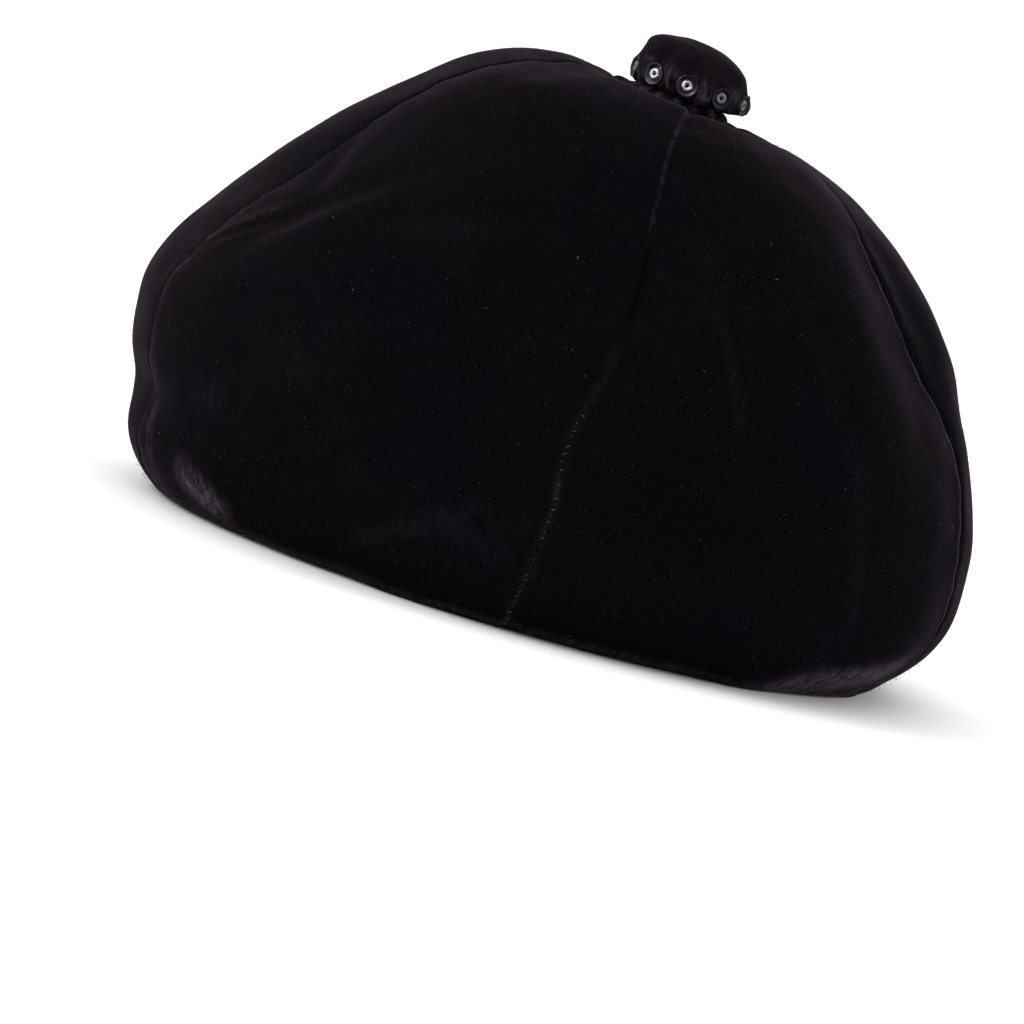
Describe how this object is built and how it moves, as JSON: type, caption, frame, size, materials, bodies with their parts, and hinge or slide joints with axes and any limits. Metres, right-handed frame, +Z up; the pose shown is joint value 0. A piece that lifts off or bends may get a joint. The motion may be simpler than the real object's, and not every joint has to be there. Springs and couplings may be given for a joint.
{
  "type": "velvet beret",
  "caption": "Round velvet beret: a high, full crown of sewn gores turned under to a head opening, with a covered button on a gathered stem, ringed by cup sequins and beads.",
  "frame": {"origin": "on the floor, under the middle of the crown's bounding box", "axes": "+Z up through the crown, the wearer's face towards -Y, the wearer's right towards -X"},
  "size_m": [0.2675, 0.2674, 0.1766],
  "materials": {
    "velvet": "black cut-pile velvet with a soft lilac-grey sheen at grazing angles",
    "sequin": "dark iridescent cup sequins",
    "bead": "clear glossy seed beads"
  },
  "bodies": {
    "root": {"crown_gore_1": "velvet", "crown_gore_2": "velvet", "crown_gore_3": "velvet", "crown_gore_4": "velvet", "crown_gore_5": "velvet", "button_cap": "velvet", "button_stem": "velvet", "sequin_1": "sequin", "bead_1": "bead", "sequin_2": "sequin", "bead_2": "bead", "sequin_3": "sequin", "bead_3": "bead", "sequin_4": "sequin", "bead_4": "bead", "sequin_5": "sequin", "bead_5": "bead", "sequin_6": "sequin", "bead_6": "bead", "sequin_7": "sequin", "bead_7": "bead", "sequin_8": "sequin", "bead_8": "bead", "sequin_9": "sequin", "bead_9": "bead", "sequin_10": "sequin", "bead_10": "bead"}
  },
  "joints": []
}
